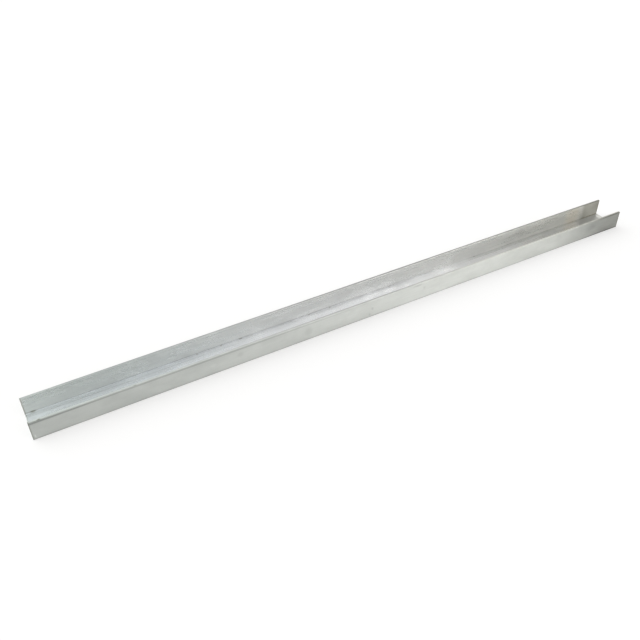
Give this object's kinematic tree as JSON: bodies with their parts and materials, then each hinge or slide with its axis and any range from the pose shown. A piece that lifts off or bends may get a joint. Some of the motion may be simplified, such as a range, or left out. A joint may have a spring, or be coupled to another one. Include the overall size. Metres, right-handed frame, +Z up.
{
  "type": "u-channel",
  "caption": "Straight length of extruded aluminium U channel: a flat web with an equal flange along each edge, open along the top and at the ends.",
  "frame": {"origin": "middle of the web's underside, which lies on the floor", "axes": "+X along the channel, +Y across the web from flange to flange, +Z up out of the open side"},
  "size_m": [0.4, 0.02, 0.012],
  "materials": {
    "aluminium": "mill finish, as extruded, with fine lines along the length"
  },
  "bodies": {
    "root": {"u_channel": "aluminium"}
  },
  "joints": []
}
